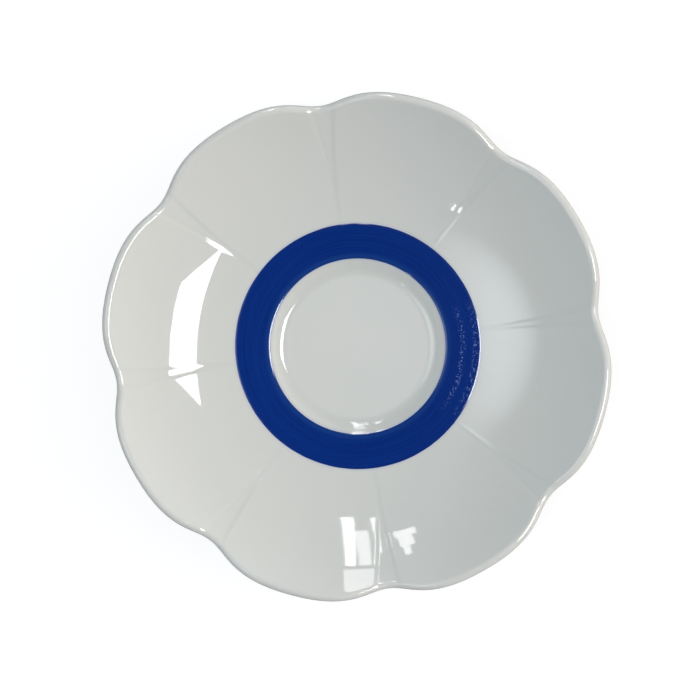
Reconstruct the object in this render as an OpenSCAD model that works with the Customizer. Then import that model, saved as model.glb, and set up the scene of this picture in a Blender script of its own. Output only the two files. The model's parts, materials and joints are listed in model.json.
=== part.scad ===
// Porcelain tea saucer: eight petals in low relief around a round cup well, a blue band and a foot ring.
// Millimetres, +Z up. The origin is the middle of the resting face, and one petal points along +X.

/* [Overall] */
// Diameter across the tips of opposite petals
saucer_d = 155; // [146:1:166]
// Height from the table to the top of the rim
saucer_h = 27; // [24:0.5:31]
// Thickness of the wall with its glaze
wall_t = 3.2; // [2.8:0.1:3.8]

/* [Petals] */
// Number of petals around the saucer
petals = 8; // [6:1:9]
// How far in from the petal tips a knife-sharp notch would reach
notch_drop = 7.3; // [5:0.1:8]
// How flat a petal is across its tip, seen from above
petal_power = 3.5; // [2.6:0.1:4.2]
// Half the width of the level stretch in the middle of a notch, in degrees
notch_flat = 2; // [1:0.1:3]
// Softening of the notches along the rim, in degrees
notch_soft = 3.7; // [2:0.1:4.5]
// Half the width of the land between two petals at the rim, in degrees
land_w = 2.3; // [1:0.1:3]
// Share of the way from the band to the rim at which a groove opens into its land
land_start = 0.3; // [0.1:0.05:0.6]
// How late a land opens on its way to the rim
land_power = 1.3; // [1:0.1:2]
// How far the petals stand above the grooves and lands between them
petal_relief = 0.2; // [0.1:0.05:0.4]
// Width of the slope down from a petal to the groove beside it, in degrees
petal_edge = 0.7; // [0.5:0.1:1.2]

/* [Well and band] */
// Diameter of the well where its side is steepest
well_d = 52.9; // [48:0.1:55]
// Depth of the well below the band
well_depth = 2.7; // [2.2:0.1:3.2]
// Radius of the hollow that runs around the well floor
hollow_r = 6.7; // [5:0.1:9]
// Radius of the lip between the well and the band
lip_r = 3.9; // [3:0.1:4.6]
// Share of the lip's turn that the band covers
band_cover = 0.43; // [0.2:0.01:0.8]
// Outer diameter of the band
band_d = 77; // [74:0.5:80]
// Slope of the band, in degrees
band_slope = 7; // [4:0.5:9]
// Slope of the petals where they leave the band, in degrees
petal_slope = 8; // [6:0.5:12]

/* [Foot] */
// Diameter of the foot ring at the table
foot_d = 86; // [84:0.5:90]
// Width of the foot ring
foot_w = 3.4; // [2.8:0.1:4.4]
// How much wider the foot ring is where it joins the wall
foot_flare = 1.2; // [0.6:0.1:1.8]
// Rounding of the foot ring's edges
foot_round = 0.8; // [0.5:0.1:1]
// Radius of the cove between the foot ring and the base
foot_cove = 0.9; // [0.6:0.1:1]
// Clearance between the table and the glazed base
base_clear = 1.8; // [1.6:0.1:2.6]
// Thickness of the middle from the base to the well floor
floor_t = 3.4; // [3:0.1:4]

/* [Glaze and enamel] */
// Thickness of the clear glaze
glaze_t = 0.35; // [0.3:0.05:0.5]
// Height above the table at which the glaze was wiped off the foot ring
glaze_line = 1; // [1:0.1:1.2]
// Depth of the blue enamel below the glaze surface beside it
enamel_t = 0.2; // [0.12:0.02:0.2]
// How far the blue enamel stands above the glaze beside it
enamel_proud = 0.06; // [0.02:0.02:0.12]
// Clearance between a petalled layer and a turned one
layer_gap = 0.06; // [0.06:0.01:0.1]

/* [Hidden] */
// Steps of the petalled surfaces: from band to rim inside, from rim to foot outside and across half a petal
inside_steps = 7;
outside_steps = 5;
half_steps = 8;
// How closely the steps across a petal crowd towards its edges
step_crowding = 1.5;
// Steps of each arc in a turned outline
arc_steps = 8;
// Half the width of a groove's floor, in degrees, and how soon the grooves reach their full depth
groove_floor = 0.2;
relief_power = 4;

half_petal = 180 / petals;

// The hollow's arc and the lip's arc meet at the slope that gives the well its depth.
floor_z = base_clear + floor_t;
well_slope = acos((hollow_r + lip_r * cos(band_slope) - well_depth) / (hollow_r + lip_r));
hollow_c = [well_d / 2 - hollow_r * sin(well_slope), floor_z + hollow_r];
lip_c = hollow_c - (hollow_r + lip_r) * normal(well_slope);
lip_top = lip_c + lip_r * normal(band_slope);
band_start = band_slope + band_cover * (well_slope - band_slope);
band_r = band_d / 2;
band_z = lip_top[1] + (band_r - lip_top[0]) * tan(band_slope);
enamel_r = band_r - layer_gap;

// The wall's middle line is one arc from under the band's edge to the centre of the rounded rim.
wall_start = [band_r, band_z] - wall_t / 2 * normal(petal_slope);
rim_c = [saucer_d / 2 - wall_t / 2, saucer_h - wall_t / 2];
wall_chord = rim_c - wall_start;
rim_slope = 2 * atan2(wall_chord[1], wall_chord[0]) - petal_slope;
wall_arc = norm(wall_chord) / (2 * sin((rim_slope - petal_slope) / 2));
arc_c = wall_start + wall_arc * normal(petal_slope);
// Turns around the rim's edge from the inside to the outside, by way of its highest and its widest point
rim_turns = [rim_slope / 2, rim_slope, rim_slope + 45, rim_slope + 90];

// The foot ring's outside leans out from the table to the wall's underside.
foot_r = foot_d / 2;
foot_in_r = foot_r - foot_w;
foot_top_r = foot_r + foot_flare;
foot_top_z = wall_point(share_at(foot_top_r, -1, glaze_t), -1, glaze_t)[1];
foot_lean = foot_flare / (foot_top_z - foot_round);
base_z = base_clear + glaze_t;
// The turned middle reaches this high inside the wall.
shoulder_z = band_z - wall_t / 3;

// The upward normal of a surface that slopes at an angle, and the direction along it
function normal(slope) = [-sin(slope), cos(slope)];
function along(slope) = [cos(slope), sin(slope)];

// Points along an arc, from one direction to another
function arc(centre, r, from, to) =
    [for (i = [0 : arc_steps]) centre + r * along(from + (to - from) * i / arc_steps)];

// A point of the wall: its share of the way to the rim, side 1 for the inside and -1 for the outside,
// and its depth below the glazed surface
function wall_slope(share) = petal_slope + share * (rim_slope - petal_slope);
function wall_point(share, side, inset) =
    let (slope = wall_slope(share))
    arc_c - (wall_arc - side * (wall_t / 2 - inset)) * normal(slope);

// The share of the way to the rim at which that side of the wall has a given radius
function share_at(r, side, inset) =
    let (lever = wall_arc - side * (wall_t / 2 - inset))
    (asin((r - arc_c[0]) / lever) - petal_slope) / (rim_slope - petal_slope);

// Rows of a petalled layer's outline at a petal tip: [radius, height, growth from band or foot to rim, side]
function inside_rows(inset) =
    [for (i = [0 : inside_steps])
        let (share = i / inside_steps, p = wall_point(share, 1, inset))
        [p[0], p[1], share, 1]];
function rim_rows(inset) =
    [for (turn = rim_turns)
        let (p = rim_c + (wall_t / 2 - inset) * along(90 + rim_slope - turn))
        [p[0], p[1], 1, cos(turn)]];
function outside_rows(inset) =
    let (last = share_at(foot_top_r + layer_gap + glaze_t - inset, -1, inset))
    [for (i = [0 : outside_steps])
        let (growth = 1 - i / outside_steps)
        let (p = wall_point(last + growth * (1 - last), -1, inset))
        [p[0], p[1], growth, -1]];
function wall_rows(inset) = concat(inside_rows(inset), rim_rows(inset), outside_rows(inset));

// How much of the notch is left at an angle from the middle of a petal
function notch_share(across) =
    let (away = half_petal - abs(across))
    let (beyond_flat = (norm([away + notch_flat, notch_soft]) + norm([away - notch_flat, notch_soft])) / 2)
    pow(max(0, 1 - beyond_flat / half_petal), petal_power);

// The slope at which the wall ends there: it stays on its arc, and stops short of the rim's full height at a notch
function end_slope(across) = asin((rim_c[0] - notch_drop * notch_share(across) - arc_c[0]) / wall_arc);

// Steps across a petal. Counted from a notch, the first follows the edge of the groove or land and the second the
// edge of the petal, so both edges stay crisp. The others spread over the petal.
function across_step(i, growth) =
    let (count = half_steps - abs(i))
    let (groove = groove_floor + land_w * pow(max(0, growth - land_start) / (1 - land_start), land_power))
    let (edge = groove + petal_edge)
    let (spread = pow(max(0, count - 2) / (half_steps - 2), step_crowding))
    let (away = count == 0 ? 0 : count == 1 ? groove : edge + (half_petal - edge) * spread)
    sign(i) * (half_petal - away);

// Depth of the grooves and lands below the petals
function recess(i, growth) =
    half_steps - abs(i) < 2 ? petal_relief * (1 - pow(1 - growth, relief_power)) : 0;

function turned(v, angle) = [v[0] * cos(angle) - v[1] * sin(angle), v[0] * sin(angle) + v[1] * cos(angle)];

// A row's point in one petal: swung down the wall's arc towards the notches, and recessed between the petals
function petal_point(row, petal, i) =
    let (across = across_step(i, row[2]))
    let (lever = [row[0], row[1]] - arc_c)
    let (swing = row[2] * (end_slope(across) - rim_slope))
    let (stretch = 1 + recess(i, row[2]) * (1 + row[3]) / 2 / norm(lever))
    let (p = arc_c + stretch * turned(lever, swing))
    let (turn = 2 * half_petal * petal + across)
    [p[0] * cos(turn), p[0] * sin(turn), p[1]];

// A closed ring of petals, lofted through one closed outline of rows
module petalled_ring(rows) {
    count = len(rows);
    turns = 2 * half_steps * petals;
    points = [for (petal = [0 : petals - 1], i = [-half_steps : half_steps - 1], row = rows)
        petal_point(row, petal, i)];
    faces = [for (turn = [0 : turns - 1], i = [0 : count - 1])
        let (next = (turn + 1) % turns, up = (i + 1) % count)
        [turn * count + i, next * count + i, next * count + up, turn * count + up]];
    polyhedron(points = points, faces = faces, convexity = 6);
}

// Outline of the well floor, its hollow and the bare part of the lip at a depth below the glaze
function well_line(inset) =
    concat(
        [[0, floor_z - inset]],
        arc(hollow_c, hollow_r + inset, -90, well_slope - 90),
        arc(lip_c, lip_r - inset, well_slope + 90, band_start + 90)
    );

// Outline of the band, from part of the way up the lip to the petals, at a depth below the glaze
function band_line(inset) =
    concat(
        arc(lip_c, lip_r - inset, band_start + 90, band_slope + 90),
        [[enamel_r, band_z - layer_gap * tan(band_slope) - inset / cos(band_slope)]]
    );

// Outline of the base and the foot ring's inner side down to the glaze line
function base_line(inset) =
    concat(
        [[0, base_z - inset]],
        arc([foot_in_r - foot_cove, base_z - foot_cove], foot_cove - inset, 90, 0),
        [[foot_in_r - inset, glaze_line]]
    );

// Radius of the foot ring's outside at a height above its rounded edge
function foot_wall(z) = foot_r + (z - foot_round) * foot_lean;

function reversed(list) = [for (i = [len(list) - 1 : -1 : 0]) list[i]];

// The turned middle: well, lip, band seat, base and foot ring
module turned_middle() {
    rotate_extrude()
        polygon(concat(
            base_line(0),
            arc([foot_in_r + foot_round, foot_round], foot_round, 180, 270),
            arc([foot_r - foot_round, foot_round], foot_round, -90, 0),
            [[foot_wall(shoulder_z), shoulder_z], [enamel_r, shoulder_z]],
            reversed(band_line(enamel_t)),
            reversed(well_line(glaze_t))
        ));
}

// The petalled wall of the body, rooted inside the turned middle
module petalled_wall() {
    petalled_ring(concat(wall_rows(glaze_t), [[foot_in_r - foot_w, (floor_z + shoulder_z) / 2, 0, 0]]));
}

// Fired porcelain: the turned middle and the petalled wall are one piece of clay
module porcelain_body() {
    color([0.90, 0.89, 0.86])
        union() {
            turned_middle();
            petalled_wall();
        }
}

// Clear glaze over the petals, the rim and the outside, down to the wiped foot ring
module petal_glaze() {
    foot_skin = foot_wall(glaze_line) + layer_gap;
    color([0.93, 0.94, 0.92])
        petalled_ring(concat(
            wall_rows(0),
            [[foot_skin + glaze_t, glaze_line, 0, -1], [foot_skin, glaze_line, 0, -1]],
            reversed(wall_rows(glaze_t))
        ));
}

// Clear glaze in the well, inside the band
module well_glaze() {
    color([0.93, 0.94, 0.92])
        rotate_extrude()
            polygon(concat(well_line(glaze_t), reversed(well_line(0))));
}

// Clear glaze under the base, inside the foot ring
module base_glaze() {
    color([0.93, 0.94, 0.92])
        rotate_extrude()
            polygon(concat(base_line(0), reversed(base_line(glaze_t))));
}

// Blue enamel brushed around the lip of the well
module blue_band() {
    color([0.07, 0.15, 0.48])
        rotate_extrude()
            polygon(concat(band_line(enamel_t), reversed(band_line(-enamel_proud))));
}

porcelain_body();
petal_glaze();
well_glaze();
base_glaze();
blue_band();
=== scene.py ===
# %% [markdown]
# # A petalled porcelain saucer
#
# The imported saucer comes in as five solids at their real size: the fired porcelain, three coats of clear glaze
# and a ring of blue enamel. This lesson keeps those solids where they are and gives the saucer its looks. Each
# coat is modelled again as a smooth skin, because gloss shows every facet, and each finish is built from nodes.

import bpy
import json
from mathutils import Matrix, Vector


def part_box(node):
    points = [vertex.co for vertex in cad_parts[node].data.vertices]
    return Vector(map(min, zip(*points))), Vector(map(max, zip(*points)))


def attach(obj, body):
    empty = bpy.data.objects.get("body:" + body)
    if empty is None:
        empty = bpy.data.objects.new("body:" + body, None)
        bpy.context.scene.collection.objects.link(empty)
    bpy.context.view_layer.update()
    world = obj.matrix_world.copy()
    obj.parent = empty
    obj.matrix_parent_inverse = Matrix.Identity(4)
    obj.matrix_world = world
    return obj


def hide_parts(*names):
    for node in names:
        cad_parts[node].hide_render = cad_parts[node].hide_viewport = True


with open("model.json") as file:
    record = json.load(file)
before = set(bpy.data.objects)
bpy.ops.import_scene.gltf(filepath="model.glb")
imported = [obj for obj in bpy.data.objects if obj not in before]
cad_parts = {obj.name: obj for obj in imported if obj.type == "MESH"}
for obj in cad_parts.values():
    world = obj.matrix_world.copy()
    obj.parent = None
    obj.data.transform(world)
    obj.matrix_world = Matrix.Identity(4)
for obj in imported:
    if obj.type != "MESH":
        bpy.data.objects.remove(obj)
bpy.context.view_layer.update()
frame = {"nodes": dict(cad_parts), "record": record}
MM = 0.001
print("packed nodes:", ", ".join(sorted(frame["nodes"])))

# %% [markdown]
# ## Sizes of the section
#
# A saucer is described by its section, the line that a knife would show. The sizes that the solids already hold
# are read from their boxes, so that the skins can't drift away from them. The slopes, radii and thicknesses that
# a box can't show are the maker's own values. Points of the section are vectors in the XZ plane.

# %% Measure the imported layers
import math
from mathutils import Vector

petal_box_low, petal_box_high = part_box("petal_glaze")
tip_radius = petal_box_high.x
rim_height = petal_box_high.z
glaze_line = petal_box_low.z
enamel_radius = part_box("blue_band")[1].x
foot_inner_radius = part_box("base_glaze")[1].x
mounts = {mount["name"]: mount for mount in frame["record"]["mounts"]}
floor_height = mounts["cup_well"]["pos_m"][2]
print(f"tips {tip_radius / MM:.2f} mm out, rim {rim_height / MM:.2f} mm up, well floor {floor_height / MM:.2f} mm up")

# %% [markdown]
# The well is a flat floor, a hollow around it and a rolled lip. Hollow and lip are two arcs that touch where the
# well is steepest, so one equation gives that slope from the well's depth. The band starts part of the way up the
# lip. Beyond the band the wall's middle line is a single arc up to the centre of the rounded rim.

# %% Work out the arcs of the section
clay_gap = 0.06 * MM
glaze_thickness = 0.35 * MM
wall_thickness = 3.2 * MM
well_radius = 26.45 * MM
well_depth = 2.7 * MM
hollow_radius = 6.7 * MM
lip_radius = 3.9 * MM
band_cover = 0.43
band_slope = math.radians(7)
petal_slope = math.radians(8)


def upright(slope):
    """The direction that stands on a surface of this slope, towards the bowl."""
    return Vector((-math.sin(slope), 0, math.cos(slope)))


def section_point(radius, height):
    return Vector((radius, 0, height))


lip_rise = hollow_radius + lip_radius * math.cos(band_slope) - well_depth
well_slope = math.acos(lip_rise / (hollow_radius + lip_radius))
hollow_centre = section_point(well_radius - hollow_radius * math.sin(well_slope), floor_height + hollow_radius)
lip_centre = hollow_centre - (hollow_radius + lip_radius) * upright(well_slope)
lip_top = lip_centre + lip_radius * upright(band_slope)
band_start = band_slope + band_cover * (well_slope - band_slope)
band_radius = enamel_radius + clay_gap
band_edge = section_point(band_radius, lip_top.z + (band_radius - lip_top.x) * math.tan(band_slope))

wall_start = band_edge - wall_thickness / 2 * upright(petal_slope)
rim_centre = section_point(tip_radius - wall_thickness / 2, rim_height - wall_thickness / 2)
wall_chord = rim_centre - wall_start
rim_slope = 2 * math.atan2(wall_chord.z, wall_chord.x) - petal_slope
wall_bend = wall_chord.length / (2 * math.sin((rim_slope - petal_slope) / 2))
wall_centre = wall_start + wall_bend * upright(petal_slope)
print(f"well wall {math.degrees(well_slope):.1f} deg, rim {math.degrees(rim_slope):.1f} deg, "
      f"wall arc {wall_bend / MM:.1f} mm")

# %% [markdown]
# ## Drawing a section with a bmesh
#
# A potter draws a section as a pen line, and a bmesh can do the same: it starts as one vertex, which `spin` drags
# around an arc and `extrude_vert_indiv` drags along a straight. A last full `spin` turns the line into a surface,
# as a wheel does. This keeps every round stretch a true arc, and no point of it has to be listed by hand.

# %% Helpers that draw, turn and close a section
import bmesh
import bpy

TOWARDS_RIM = (0, -1, 0)
MERGE_WITHIN = 0.002 * MM
CRISP_TURN = math.radians(40)


def roll_pen(section, pen, centre, turn, steps):
    """Drags the pen around a centre. A positive turn runs outwards along the bottom of the arc."""
    made = bmesh.ops.spin(section, geom=[pen], cent=centre, axis=TOWARDS_RIM, angle=turn, steps=steps)
    return next(part for part in made["geom_last"] if isinstance(part, bmesh.types.BMVert))


def draw_to(section, pen, point, cuts=0):
    """Drags the pen straight to a point, with evenly spaced cuts on the way."""
    start = pen.co.copy()
    for step in range(cuts + 1):
        pen = bmesh.ops.extrude_vert_indiv(section, verts=[pen])["verts"][0]
        goal = start.lerp(point, (step + 1) / (cuts + 1))
        bmesh.ops.translate(section, verts=[pen], vec=goal - pen.co)
    return pen


def throw_on_wheel(section, steps):
    """Turns a section once around the saucer's axis, closes its seam and its poles, and faces it outwards."""
    line = section.verts[:] + section.edges[:]
    bmesh.ops.spin(section, geom=line, cent=(0, 0, 0), axis=(0, 0, 1), angle=math.tau, steps=steps, use_merge=True)
    bmesh.ops.remove_doubles(section, verts=section.verts, dist=MERGE_WITHIN)
    bmesh.ops.recalc_face_normals(section, faces=section.faces)


def smooth_over(skin):
    """Shades a skin smooth, and keeps its sharp edges crisp."""
    for face in skin.faces:
        face.smooth = True
    for edge in skin.edges:
        edge.smooth = edge.calc_face_angle(0) < CRISP_TURN


def lay_on_saucer(name, skin, node):
    """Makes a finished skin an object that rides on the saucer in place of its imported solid."""
    mesh = bpy.data.meshes.new(name)
    skin.to_mesh(mesh)
    skin.free()
    piece = bpy.data.objects.new(name, mesh)
    bpy.context.scene.collection.objects.link(piece)
    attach(piece, "root")
    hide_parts(node)
    print(f"{name}: {len(mesh.vertices)} vertices, {len(mesh.polygons)} faces")
    return piece


# %% [markdown]
# ## The coat of glaze over the petals
#
# One coat covers the inside of the petals, rolls over the rim and runs down the outside to the foot ring, where
# it was wiped off. Its section is one pen line: up the inside arc, half a turn around the rim, back down the
# outside arc, and down the foot. The corner at the foot gets a small cove, because melted glaze gathers there.

# %% Draw and turn the petal coat
foot_outer_radius = 43 * MM
foot_edge_round = 0.8 * MM
foot_flare = 1.2 * MM
foot_cove = 1.1 * MM
foot_top_radius = foot_outer_radius + foot_flare
under_glaze_bend = wall_bend + wall_thickness / 2 - glaze_thickness
foot_top_height = wall_centre.z - math.sqrt(under_glaze_bend**2 - (foot_top_radius - wall_centre.x) ** 2)
foot_lean = foot_flare / (foot_top_height - foot_edge_round)
coat_foot_radius = foot_outer_radius + (glaze_line - foot_edge_round) * foot_lean + clay_gap + glaze_thickness
coat_root_radius = foot_top_radius + clay_gap + glaze_thickness
outside_bend = wall_bend + wall_thickness / 2
root_slope = math.asin((coat_root_radius - wall_centre.x) / outside_bend)

petal_count = 8
half_petal = math.pi / petal_count
steps_per_half_petal = 24
inside_steps, rim_steps, outside_steps, foot_cuts = 44, 18, 26, 5

petal_coat = bmesh.new()
pen = petal_coat.verts.new(band_edge)
pen = roll_pen(petal_coat, pen, wall_centre, rim_slope - petal_slope, inside_steps)
pen = roll_pen(petal_coat, pen, rim_centre, -math.pi, rim_steps)
root = roll_pen(petal_coat, pen, wall_centre, root_slope - rim_slope, outside_steps)
draw_to(petal_coat, root, section_point(coat_foot_radius, glaze_line), cuts=foot_cuts)
bmesh.ops.bevel(
    petal_coat, geom=[root], offset=foot_cove, affect="VERTICES", segments=6, profile=0.5, material=-1
)
throw_on_wheel(petal_coat, 2 * petal_count * steps_per_half_petal)
print(f"turned petal coat: {len(petal_coat.faces)} faces, foot cove at {foot_top_height / MM:.2f} mm")

# %% [markdown]
# ## Pressing the petals
#
# On the wheel the bowl is still round. A mould then presses eight petals into it. The inside stays part of the
# same bowl: only the rim dips at each notch, because the wall stops short of its full height there. Between the
# petals run fine grooves, which open into flat lands on their way to the rim. A formula moves the vertices,
# because a dip is a smooth change of the whole wall, which no cut or bevel would give. Each section swings about
# the centre of the wall's arc, so it slides along the bowl and never leaves it.

# %% Rules of a notch and its groove
notch_drop = 7.3 * MM
petal_flatness = 3.5
notch_level = math.radians(2)
notch_soft = math.radians(3.7)
groove_floor = math.radians(0.2)
land_width = math.radians(2.0)
land_start = 0.3
land_flare = 1.3
shoulder_width = math.radians(1.45)


def place_on_wall(lever):
    """How far a point is on its way to the rim, from 0 to 1, and its side: 1 inside, -1 outside."""
    slope = math.atan2(lever.x, -lever.z)
    side = max(-1, min(1, (wall_bend - lever.length) / (wall_thickness / 2)))
    foot_slope = petal_slope if side > 0 else root_slope
    return max(0, min(1, (slope - foot_slope) / (rim_slope - foot_slope))), side


def end_slope(away):
    """The slope at which the wall ends, at an angle away from the middle of a notch."""
    beyond_level = (math.hypot(away + notch_level, notch_soft) + math.hypot(away - notch_level, notch_soft)) / 2
    notch_share = max(0, 1 - beyond_level / half_petal) ** petal_flatness
    return math.asin((rim_centre.x - notch_drop * notch_share - wall_centre.x) / wall_bend)


def groove_edges(growth):
    """Angles from a groove's middle to the foot and the top of its side. The side keeps its angle, so its shoulder
    widens with the bowl."""
    foot = groove_floor + land_width * (max(0, growth - land_start) / (1 - land_start)) ** land_flare
    return foot, foot + shoulder_width


print(f"rim at a notch {math.degrees(end_slope(0)):.1f} deg, land at the rim "
      f"{math.degrees(2 * groove_edges(1)[0]):.1f} deg wide")

# %% [markdown]
# The steps of the wheel are still even. Before a point is pressed, its step is moved so that the mesh lines run
# along the groove: some steps span half the groove's floor, some the slope up to the petal, and the rest spread
# over the petal. An edge that a mesh line follows stays crisp without many more faces.

# %% Steps that follow the groove
floor_steps = 5
edge_steps = 6
petal_steps = steps_per_half_petal - floor_steps - edge_steps
floor_crowding = 1.5
petal_crowding = 1.9


def step_away(count, foot, top):
    """The angle from the middle of a notch at which a step comes to lie, counted from there."""
    if count <= floor_steps:
        return foot * (1 - (1 - count / floor_steps) ** floor_crowding)
    if count <= floor_steps + edge_steps:
        return foot + (top - foot) * (count - floor_steps) / edge_steps
    spread = ((count - floor_steps - edge_steps) / petal_steps) ** petal_crowding
    return top + (half_petal - top) * spread


print(f"steps of half a petal: {floor_steps} on the groove's floor, {edge_steps} up its side, "
      f"{petal_steps} over")

# %% [markdown]
# While the petals are pressed, the script also notes how thick the glaze lies: melted glaze runs off the rim and
# gathers along the foot of each groove's side, where the note also holds painted shade of the groove. The note is
# a vertex attribute, which the glaze's material reads.

# %% Press the petals and note the thickness of the glaze, with painted shade in the grooves
from mathutils import Matrix

petal_relief = 0.2 * MM
relief_growth = 2.4
shoulder_softness = 1.15
EVEN_COAT = 0.5
# How much darker the glaze turns along the grooves: partly pooled glaze, partly painted shade of the groove.
groove_pool_and_shade = 0.16
rim_thinning = 0.35
rim_growth = 6

coat_depth_and_shade = petal_coat.verts.layers.float.new("coat_depth_and_shade")
for vertex in petal_coat.verts:
    lever = section_point(math.hypot(vertex.co.x, vertex.co.y), vertex.co.z) - wall_centre
    growth, side = place_on_wall(lever)
    turn = math.atan2(vertex.co.y, vertex.co.x)
    middle = 2 * half_petal * round(turn / (2 * half_petal))
    count = steps_per_half_petal * max(0, 1 - abs(turn - middle) / half_petal)
    foot, top = groove_edges(growth)
    away = step_away(count, foot, top)
    down = max(0, min(1, (top - away) / (top - foot))) ** shoulder_softness
    hollowed = down * down * (3 - 2 * down) * (1 + side) / 2
    lever.length += petal_relief * (1 - (1 - growth) ** relief_growth) * hollowed
    lever = Matrix.Rotation(growth * (end_slope(away) - rim_slope), 3, TOWARDS_RIM) @ lever
    turn = middle + math.copysign(half_petal - away, turn - middle)
    radius = wall_centre.x + lever.x
    vertex.co = (radius * math.cos(turn), radius * math.sin(turn), wall_centre.z + lever.z)
    # Along the foot of each groove's side the note rises: pooled glaze and painted shade.
    gathered_and_shaded = max(0, 1 - abs(away - foot) / (top - foot)) * max(0, side) * (1 - growth**rim_growth)
    on_rim = (1 - side * side) * growth**rim_growth
    vertex[coat_depth_and_shade] = EVEN_COAT + groove_pool_and_shade * gathered_and_shaded - rim_thinning * on_rim
bmesh.ops.recalc_face_normals(petal_coat, faces=petal_coat.faces)
bmesh.ops.solidify(petal_coat, geom=petal_coat.faces[:], thickness=glaze_thickness)
smooth_over(petal_coat)
petal_skin = lay_on_saucer("petal_glaze_coat", petal_coat, "petal_glaze")

# %% [markdown]
# ## The glaze in the well and under the base
#
# Both are shallow pools with an edge. Each section is a closed strip from the axis out and back again, so the
# full spin closes it into a solid, and merging the doubles joins the rings at the axis into one pole.

# %% Glaze in the well
wheel_steps = 192
flat_cuts, hollow_steps, lip_steps = 12, 20, 10
# How much darker the glaze turns in the well's hollow and the cove under the base: pooled glaze and painted shade.
hollow_pool_and_shade = 0.2

well_pool = bmesh.new()
pen = well_pool.verts.new(section_point(0, floor_height))
pen = draw_to(well_pool, pen, section_point(hollow_centre.x, floor_height), cuts=flat_cuts)
pen = roll_pen(well_pool, pen, hollow_centre, well_slope, hollow_steps)
pen = roll_pen(well_pool, pen, lip_centre, band_start - well_slope, lip_steps)
pen = draw_to(well_pool, pen, pen.co - glaze_thickness * upright(band_start))
pen = roll_pen(well_pool, pen, lip_centre, well_slope - band_start, lip_steps)
pen = roll_pen(well_pool, pen, hollow_centre, -well_slope, hollow_steps)
draw_to(well_pool, pen, section_point(0, floor_height - glaze_thickness), cuts=flat_cuts)
throw_on_wheel(well_pool, wheel_steps)
# The note is deeper in the well's hollow: pooled glaze and painted shade of the hollow.
well_depth_and_shade_note = well_pool.verts.layers.float.new("coat_depth_and_shade")
for vertex in well_pool.verts:
    into_hollow = (math.hypot(vertex.co.x, vertex.co.y) - hollow_centre.x) / (well_radius - hollow_centre.x)
    pool_and_shade = math.sin(math.pi * max(0, min(1, into_hollow)))
    vertex[well_depth_and_shade_note] = EVEN_COAT + hollow_pool_and_shade * pool_and_shade
smooth_over(well_pool)
well_skin = lay_on_saucer("well_glaze_pool", well_pool, "well_glaze")

# %% Glaze under the base
base_cove = 0.9 * MM
cove_steps = 10
base_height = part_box("base_glaze")[1].z
base_face = base_height - glaze_thickness
cove_centre = section_point(foot_inner_radius - base_cove, base_height - base_cove)

base_coat = bmesh.new()
pen = base_coat.verts.new(section_point(0, base_height))
pen = draw_to(base_coat, pen, section_point(cove_centre.x, base_height), cuts=flat_cuts)
pen = roll_pen(base_coat, pen, cove_centre, -math.pi / 2, cove_steps)
pen = draw_to(base_coat, pen, section_point(foot_inner_radius, glaze_line))
pen = draw_to(base_coat, pen, section_point(foot_inner_radius - glaze_thickness, glaze_line))
pen = draw_to(base_coat, pen, section_point(foot_inner_radius - glaze_thickness, cove_centre.z))
pen = roll_pen(base_coat, pen, cove_centre, math.pi / 2, cove_steps)
draw_to(base_coat, pen, section_point(0, base_face), cuts=flat_cuts)
throw_on_wheel(base_coat, wheel_steps)
# The note is deeper in the cove under the base: pooled glaze and painted shade of the corner.
base_depth_and_shade_note = base_coat.verts.layers.float.new("coat_depth_and_shade")
for vertex in base_coat.verts:
    into_cove = (math.hypot(vertex.co.x, vertex.co.y) - cove_centre.x) / base_cove
    vertex[base_depth_and_shade_note] = EVEN_COAT + hollow_pool_and_shade * max(0, min(1, into_cove))
smooth_over(base_coat)
base_skin = lay_on_saucer("base_glaze_coat", base_coat, "base_glaze")

# %% [markdown]
# ## The blue band
#
# The band is enamel, brushed on while the saucer turned under the brush. It starts on the lip of the well, lies
# flat on the band's seat and stands a hair above the glaze. Its inner edge is rounded, and at its outer edge the
# melt rolled down onto the glaze, which catches the light as a fine line. A closed strip turned on the wheel gives
# that solid. The hand shows in its outer edge, which wanders by a few hundredths of a millimetre, so a sum of slow
# waves moves that edge in and out.

# %% Turn the enamel and let its edge wander
enamel_depth = 0.2 * MM
enamel_proud = 0.13 * MM
bead_round = 0.12 * MM
roll_width = 0.32 * MM
edge_waves = {5: 0.025 * MM, 11: 0.02 * MM, 23: 0.018 * MM, 47: 0.012 * MM}
edge_zone = 1.2 * MM
band_cuts, roll_cuts, seat_cuts = 24, 3, 4

enamel = bmesh.new()
lip_inner_top = lip_centre + (lip_radius + enamel_proud) * upright(band_start)
lip_inner_bottom = lip_centre + (lip_radius - enamel_depth) * upright(band_start)
roll_top = band_edge + enamel_proud * upright(band_slope) - roll_width * upright(band_slope - math.pi / 2)
outer_bottom = band_edge - enamel_depth * upright(band_slope)
seat_inner = lip_centre + (lip_radius - enamel_depth) * upright(band_slope)
pen = enamel.verts.new(lip_inner_bottom)
inner_bead = pen = draw_to(enamel, pen, lip_inner_top)
pen = roll_pen(enamel, pen, lip_centre, band_slope - band_start, lip_steps)
pen = draw_to(enamel, pen, roll_top, cuts=band_cuts)
pen = draw_to(enamel, pen, band_edge, cuts=roll_cuts)
pen = draw_to(enamel, pen, outer_bottom)
pen = draw_to(enamel, pen, seat_inner, cuts=seat_cuts)
roll_pen(enamel, pen, lip_centre, band_start - band_slope, lip_steps)
bmesh.ops.bevel(
    enamel, geom=[inner_bead], offset=bead_round, affect="VERTICES", segments=5, profile=0.5, material=-1
)
bmesh.ops.remove_doubles(enamel, verts=enamel.verts, dist=MERGE_WITHIN)
throw_on_wheel(enamel, 2 * wheel_steps)
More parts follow.
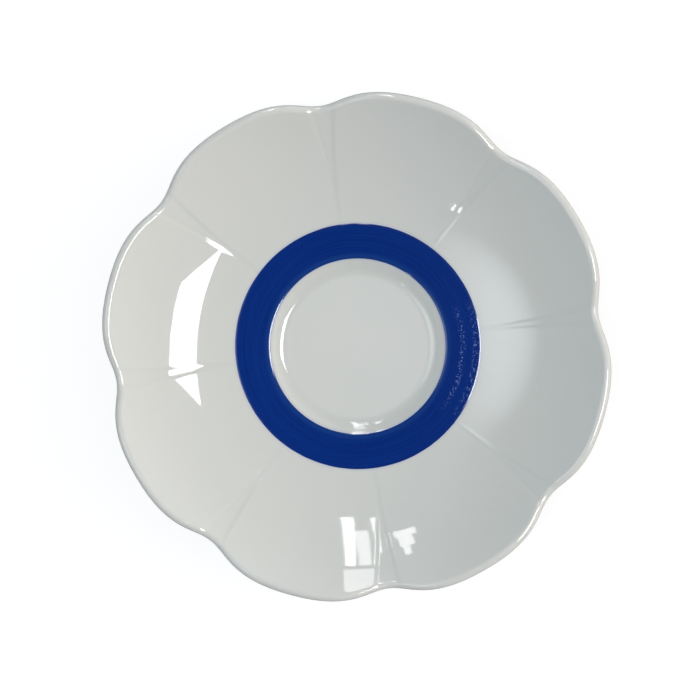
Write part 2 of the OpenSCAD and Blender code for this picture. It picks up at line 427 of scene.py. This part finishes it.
for vertex in enamel.verts:
    radius, turn = math.hypot(vertex.co.x, vertex.co.y), math.atan2(vertex.co.y, vertex.co.x)
    near_edge = max(0, 1 - (band_radius - radius) / edge_zone)
    wander = sum(reach * math.sin(count * turn + count) for count, reach in edge_waves.items())
    swell = 1 + near_edge * wander / radius
    vertex.co.x *= swell
    vertex.co.y *= swell
smooth_over(enamel)
band_skin = lay_on_saucer("blue_band_enamel", enamel, "blue_band")

# %% [markdown]
# ## Shared effects for the finishes
#
# Three effects turn up in more than one finish, so each is a node group that is built once and placed with its
# own values. Slow mottling comes from the kiln, specks from grains in the clay or bubbles in the glaze, and the
# ripple is the uneven skin that a melted coat keeps. All of them read Object coordinates, so they are fixed to
# the saucer and don't slide when the camera moves.

# %% Helpers for node trees
VECTOR, VALUE = "NodeSocketVector", "NodeSocketFloat"


def add_node(tree, kind, values=None, **settings):
    """Adds a node, with settings on the node itself and values on its input sockets."""
    node = tree.nodes.new(kind)
    for name, setting in settings.items():
        setattr(node, name, setting)
    for socket, value in (values or {}).items():
        node.inputs[socket].default_value = value
    return node


def join(tree, source, node, socket):
    tree.links.new(source, node.inputs[socket])


def start_group(name, inputs, outputs):
    """Starts a node group with named inputs, each with its kind and default, and named outputs."""
    group = bpy.data.node_groups.new(name, "ShaderNodeTree")
    for label, (kind, default) in inputs.items():
        socket = group.interface.new_socket(name=label, in_out="INPUT", socket_type=kind)
        if default is not None:
            socket.default_value = default
    for label in outputs:
        group.interface.new_socket(name=label, in_out="OUTPUT", socket_type=VALUE)
    return group, group.nodes.new("NodeGroupInput"), group.nodes.new("NodeGroupOutput")


def math_node(tree, operation, first, second):
    """Adds a Math node. Each operand is a socket to link or a number to set."""
    node = add_node(tree, "ShaderNodeMath", operation=operation)
    for slot, operand in enumerate((first, second)):
        if isinstance(operand, bpy.types.NodeSocket):
            join(tree, operand, node, slot)
        else:
            node.inputs[slot].default_value = operand
    return node.outputs[0]


def remap(tree, value, low, high, to_low, to_high):
    """Maps a value from one range to another and clamps it there."""
    node = add_node(tree, "ShaderNodeMapRange", {1: low, 2: high, 3: to_low, 4: to_high})
    join(tree, value, node, 0)
    return node.outputs[0]


# %% Kiln mottle: slow patches of tone
kiln_mottle, mottle_in, mottle_out = start_group(
    "kiln mottle", {"Vector": (VECTOR, None), "Scale": (VALUE, 60.0)}, ["Mottle"]
)
broad_patches = add_node(kiln_mottle, "ShaderNodeTexNoise", {"Detail": 3.0, "Roughness": 0.55})
join(kiln_mottle, mottle_in.outputs["Vector"], broad_patches, "Vector")
join(kiln_mottle, mottle_in.outputs["Scale"], broad_patches, "Scale")
join(kiln_mottle, remap(kiln_mottle, broad_patches.outputs["Fac"], 0.3, 0.7, 0.0, 1.0), mottle_out, "Mottle")
print("node group:", kiln_mottle.name)

# %% Specks: a few small round grains or pinholes
specks, specks_in, specks_out = start_group(
    "specks",
    {"Vector": (VECTOR, None), "Scale": (VALUE, 300.0), "Size": (VALUE, 0.1), "Kept": (VALUE, 0.1)},
    ["Speck"],
)
grains = add_node(specks, "ShaderNodeTexVoronoi", feature="F1")
join(specks, specks_in.outputs["Vector"], grains, "Vector")
join(specks, specks_in.outputs["Scale"], grains, "Scale")
grain_luck = add_node(specks, "ShaderNodeSeparateColor")
join(specks, grains.outputs["Color"], grain_luck, "Color")
chosen = math_node(specks, "LESS_THAN", grain_luck.outputs["Red"], specks_in.outputs["Kept"])
grain_radius = math_node(specks, "MULTIPLY", grain_luck.outputs["Green"], specks_in.outputs["Size"])
closeness = math_node(specks, "DIVIDE", grains.outputs["Distance"], math_node(specks, "ADD", grain_radius, 0.001))
round_grain = remap(specks, closeness, 0.6, 1.0, 1.0, 0.0)
join(specks, math_node(specks, "MULTIPLY", chosen, round_grain), specks_out, "Speck")
print("node group:", specks.name)

# %% Ripple: the uneven skin of a melted coat
fine_share = 0.06

ripple, ripple_in, ripple_out = start_group(
    "melted ripple", {"Vector": (VECTOR, None), "Broad": (VALUE, 90.0), "Fine": (VALUE, 900.0)}, ["Height"]
)
broad_wave = add_node(ripple, "ShaderNodeTexNoise", {"Detail": 1.0, "Roughness": 0.4})
fine_wave = add_node(ripple, "ShaderNodeTexNoise", {"Detail": 2.0, "Roughness": 0.5})
for wave, scale in ((broad_wave, "Broad"), (fine_wave, "Fine")):
    join(ripple, ripple_in.outputs["Vector"], wave, "Vector")
    join(ripple, ripple_in.outputs[scale], wave, "Scale")
fine_part = math_node(ripple, "MULTIPLY", fine_wave.outputs["Fac"], fine_share)
join(ripple, math_node(ripple, "ADD", broad_wave.outputs["Fac"], fine_part), ripple_out, "Height")
print("node group:", ripple.name)

# %% [markdown]
# ## Clear glaze over white porcelain
#
# The white of the saucer is the clay seen through clear glass. Where the glass is thin, at the rim, the white is
# a touch warmer. Where it gathers, in the grooves and the well's hollow, it turns cooler and a little darker, and
# that darkening is also painted shade of those recesses. Beside the band a trace of blue has bled into the melt.
# One Principled shader can carry all of this: the colour follows the noted thickness and painted shade, the gloss
# stays high, and a very low ripple bends the reflections a little, as in real glaze.

# %% Helpers for finishes
def start_finish(name):
    """Starts a material with a Principled shader, and returns it with its Object coordinates."""
    finish = bpy.data.materials.new(name)
    finish.use_nodes = True
    tree = finish.node_tree
    shader = tree.nodes["Principled BSDF"]
    place = add_node(tree, "ShaderNodeTexCoord").outputs["Object"]
    return finish, tree, shader, place


def effect(tree, group, place, **values):
    """Places a shared effect in a finish."""
    node = add_node(tree, "ShaderNodeGroup", node_tree=group)
    join(tree, place, node, "Vector")
    for socket, value in values.items():
        node.inputs[socket].default_value = value
    return node.outputs[0]


def blend(tree, share, first, second):
    """Mixes two colours. Each is a socket or a colour."""
    node = add_node(tree, "ShaderNodeMix", data_type="RGBA")
    join(tree, share, node, "Factor")
    for socket, colour in ((6, first), (7, second)):
        if isinstance(colour, bpy.types.NodeSocket):
            join(tree, colour, node, socket)
        else:
            node.inputs[socket].default_value = (*colour, 1)
    return node.outputs[2]


def bump(tree, height, depth, shader):
    """Gives a finish its relief, in metres from the lowest to the highest point."""
    node = add_node(tree, "ShaderNodeBump", {"Strength": 1.0, "Distance": depth})
    join(tree, height, node, "Height")
    join(tree, node.outputs["Normal"], shader, "Normal")


def flat_radius(tree, place):
    """A place without its height, and how far it lies from the saucer's axis."""
    flat = add_node(tree, "ShaderNodeVectorMath", {1: (1, 1, 0)}, operation="MULTIPLY")
    join(tree, place, flat, 0)
    radius = add_node(tree, "ShaderNodeVectorMath", operation="LENGTH")
    join(tree, flat.outputs["Vector"], radius, 0)
    return flat.outputs["Vector"], radius.outputs["Value"]


def height_of(tree, place):
    """The height of a place, as a socket."""
    axes = add_node(tree, "ShaderNodeSeparateXYZ")
    join(tree, place, axes, "Vector")
    return axes.outputs["Z"]


# %% Make the clear glaze
thin_white = (0.805, 0.795, 0.745)
even_white = (0.783, 0.790, 0.735)
# The darker, cooler white of gathered glaze, which also paints the shade of grooves and hollows.
shaded_pool_white = (0.706, 0.735, 0.690)
iron_grain = (0.38, 0.33, 0.27)
kiln_unevenness = 0.06

clear_glaze, glaze_tree, glaze_shader, glaze_place = start_finish("clear_glaze")
thickness_and_shade_note = add_node(glaze_tree, "ShaderNodeAttribute", attribute_name="coat_depth_and_shade").outputs["Fac"]
patches = effect(glaze_tree, kiln_mottle, glaze_place, Scale=45.0)
unevenness = remap(glaze_tree, patches, 0, 1, -kiln_unevenness, kiln_unevenness)
thickness = math_node(glaze_tree, "ADD", thickness_and_shade_note, unevenness)
# A high note darkens the white: pooled glaze and painted shade in grooves and hollows.
thick_and_shaded_side = blend(glaze_tree, remap(glaze_tree, thickness, EVEN_COAT, 1, 0, 1), even_white, shaded_pool_white)
glaze_white = blend(glaze_tree, remap(glaze_tree, thickness, 0, EVEN_COAT, 1, 0), thick_and_shaded_side, thin_white)

# %% [markdown]
# The bled blue needs the distance from the band. The band is a ring, so that distance is how far a point's radius
# lies from the ring's middle, less half the ring's width. The base lies under the ring, so height rules it out.

# %% Let the blue bleed, and add grains, gloss and ripple
bled_blue = (0.50, 0.58, 0.76)
bleed_reach = 0.9 * MM
bleed_strength = 0.55
smoothest, dullest = 0.02, 0.05
glass_ior = 1.52
glaze_ripple_depth = 0.012 * MM
band_inner_radius = (lip_centre + lip_radius * upright(band_start)).x
band_middle = (band_inner_radius + enamel_radius) / 2
half_band = (enamel_radius - band_inner_radius) / 2

glaze_radius = flat_radius(glaze_tree, glaze_place)[1]
off_middle = math_node(glaze_tree, "SUBTRACT", glaze_radius, band_middle)
from_middle = math_node(glaze_tree, "ABSOLUTE", off_middle, 0)
beside_band = remap(glaze_tree, from_middle, half_band, half_band + bleed_reach, bleed_strength, 0)
glaze_height = height_of(glaze_tree, glaze_place)
on_top = remap(glaze_tree, glaze_height, base_height, floor_height - glaze_thickness, 0, 1)
bleeding = math_node(glaze_tree, "MULTIPLY", beside_band, on_top)
tinted = blend(glaze_tree, bleeding, glaze_white, bled_blue)
iron = effect(glaze_tree, specks, glaze_place, Scale=160.0, Size=0.03, Kept=0.06)
join(glaze_tree, blend(glaze_tree, iron, tinted, iron_grain), glaze_shader, "Base Color")
join(glaze_tree, remap(glaze_tree, patches, 0, 1, smoothest, dullest), glaze_shader, "Roughness")
glaze_shader.inputs["IOR"].default_value = glass_ior
glaze_ripple = effect(glaze_tree, ripple, glaze_place, Broad=70.0, Fine=700.0)
bump(glaze_tree, glaze_ripple, glaze_ripple_depth, glaze_shader)
for skin in (petal_skin, well_skin, base_skin):
    skin.data.materials.append(clear_glaze)
print("clear glaze on:", petal_skin.name, well_skin.name, base_skin.name)

# %% [markdown]
# ## Brushed cobalt enamel
#
# The brush stood still and the saucer turned, so every hair drew a circle. Noise that is stretched along circles
# gives those strokes: the angle enters as a point on a small circle, which closes without a seam, and the radius
# enters strongly. The strokes change the tone and leave fine ridges. On one side of the band small raised grains
# show as pale specks, and their paleness is painted glints of the light. Over the lip the enamel lies thin, so the
# white shows through a little, and that lighter ring is also a painted reflection of the light overhead.

# %% Make the cobalt enamel
strokes_per_mm = 2.2
stroke_changes = 1.6

cobalt_enamel, enamel_tree, enamel_shader, enamel_place = start_finish("cobalt_enamel")
ring_place, ring_radius = flat_radius(enamel_tree, enamel_place)
around = add_node(enamel_tree, "ShaderNodeVectorMath", operation="NORMALIZE")
join(enamel_tree, ring_place, around, 0)
slow_around = add_node(enamel_tree, "ShaderNodeVectorMath", {"Scale": stroke_changes}, operation="SCALE")
join(enamel_tree, around.outputs["Vector"], slow_around, 0)
across_strokes = math_node(enamel_tree, "MULTIPLY", ring_radius, strokes_per_mm / MM)
stroke_height = add_node(enamel_tree, "ShaderNodeCombineXYZ")
join(enamel_tree, across_strokes, stroke_height, "Z")
stroke_place = add_node(enamel_tree, "ShaderNodeVectorMath", operation="ADD")
join(enamel_tree, slow_around.outputs["Vector"], stroke_place, 0)
join(enamel_tree, stroke_height.outputs["Vector"], stroke_place, 1)
strokes = add_node(enamel_tree, "ShaderNodeTexNoise", {"Scale": 1.0, "Detail": 3.0, "Roughness": 0.6})
join(enamel_tree, stroke_place.outputs["Vector"], strokes, "Vector")
stroke_tone = remap(enamel_tree, strokes.outputs["Fac"], 0.3, 0.7, 0, 1)

# %% Find where the painted glints lie, on raised grains
# On one side of the band, raised grains carry pale specks: painted glints of the light.
glint_rings = (32.9 * MM, 37.0 * MM)
glint_ring_half_width = 1.2 * MM
glint_turn = math.radians(8)
glint_start, glint_full = 0.86, 0.97


def glint_ring(middle):
    """Where the painted glints lie: 1 on a circle of the band, and 0 beside it."""
    off_ring = math_node(enamel_tree, "SUBTRACT", ring_radius, middle)
    from_ring = math_node(enamel_tree, "ABSOLUTE", off_ring, 0)
    return remap(enamel_tree, from_ring, 0, glint_ring_half_width, 1, 0)


both_rings = math_node(enamel_tree, "ADD", glint_ring(glint_rings[0]), glint_ring(glint_rings[1]))
glint_direction = (math.cos(glint_turn), math.sin(glint_turn), 0)
glint_way = add_node(enamel_tree, "ShaderNodeVectorMath", {1: glint_direction}, operation="DOT_PRODUCT")
join(enamel_tree, around.outputs["Vector"], glint_way, 0)
glint_side = remap(enamel_tree, glint_way.outputs["Value"], glint_start, glint_full, 0, 1)
grain_specks = effect(enamel_tree, specks, enamel_place, Scale=2800.0, Size=0.8, Kept=0.55)
glint_patch = math_node(enamel_tree, "MULTIPLY", both_rings, glint_side)
glint_grains = math_node(enamel_tree, "MULTIPLY", grain_specks, glint_patch)
print("glint rings at mm:", [round(ring / MM, 1) for ring in glint_rings])

# %% Colour of the enamel
deep_cobalt = (0.0008, 0.0240, 0.198)
light_cobalt = (0.0020, 0.0345, 0.246)
# The lighter blue over the lip: thin enamel and a painted reflection of the light overhead.
thin_and_sheen_cobalt = (0.012, 0.060, 0.260)
# The pale blue of the painted glints.
glint_cobalt = (0.28, 0.38, 0.72)
pinhole_blue = (0.001, 0.014, 0.130)
lip_ring_start, lip_ring_end = 28.5 * MM, 29.6 * MM
lip_thinning_and_sheen = 0.6
glint_paleness = 0.8

brushed = blend(enamel_tree, stroke_tone, deep_cobalt, light_cobalt)
# A lighter ring over the lip: thin enamel and a painted reflection of the light overhead.
over_lip_sheen = remap(enamel_tree, ring_radius, lip_ring_start, lip_ring_end, lip_thinning_and_sheen, 0)
thinned_and_sheened = blend(enamel_tree, over_lip_sheen, brushed, thin_and_sheen_cobalt)
# Pale specks on the grains: painted glints.
painted_glints = remap(enamel_tree, glint_grains, 0, 1, 0, glint_paleness)
grained = blend(enamel_tree, painted_glints, thinned_and_sheened, glint_cobalt)
pinholes = effect(enamel_tree, specks, enamel_place, Scale=1500.0, Size=0.4, Kept=0.1)
join(enamel_tree, blend(enamel_tree, pinholes, grained, pinhole_blue), enamel_shader, "Base Color")
print("enamel: thin over the lip from", round(lip_ring_start / MM, 1), "to", round(lip_ring_end / MM, 1), "mm")

# %% [markdown]
# The enamel itself is satin. Both its edges are glassy, because glaze ran over them in the kiln, so a coat on the
# shader stands for that glass there. The relief holds the brush ridges, the grains and a fine ripple.

# %% Glassy edges and relief of the enamel
inner_gloss = 0.55 * MM
outer_gloss = 0.5 * MM
gloss_core = 0.7
ridge_share, grain_share = 0.5, 2.0
enamel_relief_depth = 0.014 * MM

inner_core, inner_end = band_inner_radius + gloss_core * inner_gloss, band_inner_radius + inner_gloss
outer_end, outer_core = enamel_radius - outer_gloss, enamel_radius - gloss_core * outer_gloss
inner_edge = remap(enamel_tree, ring_radius, inner_core, inner_end, 1, 0)
outer_edge = remap(enamel_tree, ring_radius, outer_end, outer_core, 0, 1)
join(enamel_tree, math_node(enamel_tree, "MAXIMUM", inner_edge, outer_edge), enamel_shader, "Coat Weight")
enamel_shader.inputs["Coat Roughness"].default_value = 0.08
enamel_shader.inputs["Roughness"].default_value = 0.3
enamel_shader.inputs["Specular IOR Level"].default_value = 0.03

enamel_ripple = effect(enamel_tree, ripple, enamel_place, Broad=500.0, Fine=2600.0)
stroke_ridges = math_node(enamel_tree, "MULTIPLY", stroke_tone, ridge_share)
ridges = math_node(enamel_tree, "ADD", stroke_ridges, enamel_ripple)
grains_up = math_node(enamel_tree, "MULTIPLY", glint_grains, grain_share)
bump(enamel_tree, math_node(enamel_tree, "ADD", ridges, grains_up), enamel_relief_depth, enamel_shader)
band_skin.data.materials.append(cobalt_enamel)
print("cobalt enamel on:", band_skin.name)

# %% [markdown]
# ## Bare porcelain
#
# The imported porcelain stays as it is, because it shows only on the wiped foot ring, whose shape is already true.
# Unglazed porcelain is matt and a little warm, with a fine grain. The edge that it stands on is polished and
# greyed by tables, so height above the table sets how worn it is.

# %% Make the bare porcelain
clean_clay = (0.70, 0.675, 0.61)
warm_clay = (0.62, 0.575, 0.49)
table_grey = (0.47, 0.45, 0.42)
worn_height = 0.35 * MM
least_worn, most_worn = 0.25, 0.9
matt_clay, polished_clay = 0.72, 0.42
clay_grain_depth = 0.02 * MM

bare_porcelain, clay_tree, clay_shader, clay_place = start_finish("bare_porcelain")
clay_patches = effect(clay_tree, kiln_mottle, clay_place, Scale=120.0)
clay_tone = blend(clay_tree, clay_patches, clean_clay, warm_clay)
low_edge = remap(clay_tree, height_of(clay_tree, clay_place), 0, worn_height, 1, 0)
worn_patches = remap(clay_tree, clay_patches, 0, 1, least_worn, most_worn)
worn = math_node(clay_tree, "MULTIPLY", low_edge, worn_patches)
worn_clay = blend(clay_tree, worn, clay_tone, table_grey)
clay_grains = effect(clay_tree, specks, clay_place, Scale=900.0, Size=0.3, Kept=0.12)
join(clay_tree, blend(clay_tree, clay_grains, worn_clay, iron_grain), clay_shader, "Base Color")
join(clay_tree, remap(clay_tree, worn, 0, 1, matt_clay, polished_clay), clay_shader, "Roughness")
clay_ripple = effect(clay_tree, ripple, clay_place, Broad=1200.0, Fine=5000.0)
bump(clay_tree, clay_ripple, clay_grain_depth, clay_shader)
clay_node = frame["nodes"]["porcelain_body"]
clay_node.data.materials.clear()
clay_node.data.materials.append(bare_porcelain)
print("bare porcelain on:", clay_node.name)

# %% [markdown]
# ## The floor
#
# The saucer stands on a plain white board, which is paler than the porcelain all around. The board is grey paint
# with a glow that only the camera sees, because a floor that is really so bright would light the rim from below.

# %% Lay the floor
floor_half_size = 3.0
board_grey = 0.32
board_glow = 0.80

board = bmesh.new()
bmesh.ops.create_grid(board, x_segments=8, y_segments=8, size=floor_half_size)
floor_mesh = bpy.data.meshes.new("pale_board")
board.to_mesh(floor_mesh)
board.free()
floor = bpy.data.objects.new("pale_board", floor_mesh)
bpy.context.scene.collection.objects.link(floor)
pale_paint = bpy.data.materials.new("pale_paint")
pale_paint.use_nodes = True
paint_shader = pale_paint.node_tree.nodes["Principled BSDF"]
paint_shader.inputs["Base Color"].default_value = (board_grey, board_grey, board_grey, 1)
paint_shader.inputs["Roughness"].default_value = 0.9
paint_shader.inputs["Specular IOR Level"].default_value = 0.1
paint_shader.inputs["Emission Color"].default_value = (1, 1, 1, 1)
paint_tree = pale_paint.node_tree
seen_directly = add_node(paint_tree, "ShaderNodeLightPath").outputs["Is Camera Ray"]
camera_glow = math_node(paint_tree, "MULTIPLY", seen_directly, board_glow)
join(paint_tree, camera_glow, paint_shader, "Emission Strength")
floor_mesh.materials.append(pale_paint)
print("floor:", floor.name, [round(side, 2) for side in floor.dimensions])

# %% [markdown]
# ## The camera
#
# The photograph looks almost straight down, from a little to one side, with the saucer turned by about 14
# degrees. The camera stands there, at arm's length. Its three axes are worked out from where it stands, what it
# looks at and which way is up in the picture.

# %% Set up the camera
camera_stand = Vector((19.7, 24.0, 450)) * MM
camera_aim = Vector((-1.8, -1.4, 12)) * MM
picture_turn = math.radians(14.48)
picture_up = Vector((-math.sin(picture_turn), math.cos(picture_turn), 0))
picture_right = Vector((math.cos(picture_turn), math.sin(picture_turn), 0))

camera_back = (camera_stand - camera_aim).normalized()
camera_side = picture_up.cross(camera_back).normalized()
camera_top = camera_back.cross(camera_side)
lens = bpy.data.cameras.new("arm_length_camera")
lens.sensor_width = 36
lens.lens = 72.65
camera = bpy.data.objects.new("arm_length_camera", lens)
bpy.context.scene.collection.objects.link(camera)
camera_turn = Matrix((camera_side, camera_top, camera_back)).transposed()
camera.matrix_world = Matrix.Translation(camera_stand) @ camera_turn.to_4x4()
bpy.context.scene.camera = camera
print("camera at mm", [round(side / MM, 1) for side in camera_stand])

# %% [markdown]
# ## The light
#
# Glossy glaze is read by what it mirrors, so pale cards hang where the room's windows would be: a skylight to the
# right of the picture, windows at its top and a small lamp. The cards show only in reflections. Two softboxes, which
# the glaze doesn't mirror, give the soft light itself: a strong one from the right and a weak one from all over.
# So each can be set without spoiling the other.

# %% Hang the softboxes and the cards
def room_way(toward_right, elevation):
    """A direction in the room, in degrees: the angle from the picture's right, turning up, and the elevation."""
    turn, rise = math.radians(toward_right), math.radians(elevation)
    level = math.cos(turn) * picture_right + math.sin(turn) * picture_up
    return math.cos(rise) * level + math.sin(rise) * Vector((0, 0, 1))


def hang_card(name, toward_right, low, high, width, brightness, colour=(1, 1, 1), tilt=0):
    """Hangs a card that glows towards the saucer. Low and high are the elevation and the distance of the middles
    of its lower and upper edge, and a tilt in degrees raises its left end."""
    edges = [distance * room_way(toward_right, elevation) for elevation, distance in (low, high)]
    card_across = Vector((0, 0, 1)).cross(room_way(toward_right, 0))
    card_up = (edges[1] - edges[0]).normalized()
    card = bpy.data.lights.new(name, "AREA")
    card.shape = "RECTANGLE"
    card.size, card.size_y = width, (edges[1] - edges[0]).length
    card.energy = math.pi * card.size * card.size_y * brightness
    card.color = colour
    hung = bpy.data.objects.new(name, card)
    bpy.context.scene.collection.objects.link(hung)
    card_turn = Matrix((card_across, card_up, card_across.cross(card_up))).transposed()
    card_turn = card_turn @ Matrix.Rotation(math.radians(tilt), 3, "Z")
    hung.matrix_world = Matrix.Translation((edges[0] + edges[1]) / 2) @ card_turn.to_4x4()
    hung.visible_camera = False
    return hung


softboxes = [
    hang_card("right_softbox", 0, (8, 1.5), (44, 1.5), 1.1, 2.75, (1.0, 0.87, 0.76)),
    hang_card("overhead_softbox", 0, (45, 2.1), (135, 2.1), 3.0, 0.68, (0.87, 0.92, 1.0)),
]
for softbox in softboxes:
    softbox.visible_glossy = False
card_distance = 1.6
window_cards = {
    "window_left_pane": (92.75, 34, 59, 0.068, 13.0),
    "window_right_pane": (97, 34, 52, 0.081, 8.0),
    "window_low_pane": (95, 19, 32, 0.204, 6.0),
    "window_frame_gap": (101.75, 40, 58, 0.028, 12.0),
    "side_window_top": (110.5, 45.5, 49, 0.135, 9.0),
    "side_window_middle": (110, 40.5, 45.5, 0.090, 9.0),
    "side_window_foot": (109.5, 36, 40.5, 0.045, 9.0),
    "ceiling_lamp": (-128, 52, 55.5, 0.045, 16.0),
}
cards = [hang_card("skylight", -11.7, (51.5, 1.5), (65.5, 1.0), 0.511, 24.0, tilt=5)]
for name, (toward_right, low, high, width, brightness) in window_cards.items():
    cards.append(hang_card(name, toward_right, (low, card_distance), (high, card_distance), width, brightness))
for card in cards:
    card.visible_diffuse = False
print("lights:", len(softboxes), "softboxes and", len(cards), "cards")

# %% [markdown]
# The room itself is pale low down, most of all on the side of the windows, and dark overhead, where the camera and
# the person behind it block the light. That keeps the blue of the band deep. Two parts of the ceiling stay bright:
# a patch up on the left, which the petals on the right mirror beside the band, and the spot straight above, which
# the flat floor of the well mirrors.

# %% Fill the room with a soft glow
room_tint = (0.93, 1.0, 1.07)
shade_glow = 0.38
window_glow = 1.45
left_glow = 3.4
top_glow = 0.9
wall_top = 0.7
left_patch_way, window_side = (191, 63), (40, 0)


def nearness(way):
    """How near each direction of the room is to one way: 1 there, and -1 opposite."""
    lean = add_node(room_tree, "ShaderNodeVectorMath", {1: way}, operation="DOT_PRODUCT")
    join(room_tree, room_place, lean, 0)
    return lean.outputs["Value"]


def spot(value, core, edge, brightness):
    """A round spot of light with a soft edge, its sizes in degrees."""
    return remap(room_tree, value, math.cos(math.radians(edge)), math.cos(math.radians(core)), 0, brightness)


room = bpy.data.worlds.new("soft_room")
room.use_nodes = True
bpy.context.scene.world = room
room_tree = room.node_tree
room_shader = room_tree.nodes["Background"]
room_shader.inputs["Color"].default_value = (*room_tint, 1)
room_place = add_node(room_tree, "ShaderNodeTexCoord").outputs["Generated"]
room_height = height_of(room_tree, room_place)

left_patch = spot(nearness(room_way(*left_patch_way)), 5, 18, left_glow)
top_spot = spot(room_height, 3, 9, top_glow)
low_down = remap(room_tree, room_height, 0, wall_top, 1, 0)
wall_glow = remap(room_tree, nearness(room_way(*window_side)), 0, 0.9, shade_glow, window_glow)
walls = math_node(room_tree, "MULTIPLY", low_down, wall_glow)
glow = math_node(room_tree, "ADD", walls, math_node(room_tree, "ADD", left_patch, top_spot))
join(room_tree, glow, room_shader, "Strength")
bpy.context.scene.view_settings.view_transform = "Standard"
print("room glow:", room.name)

# %% [markdown]
# ## Finish

# %% Finish
import json
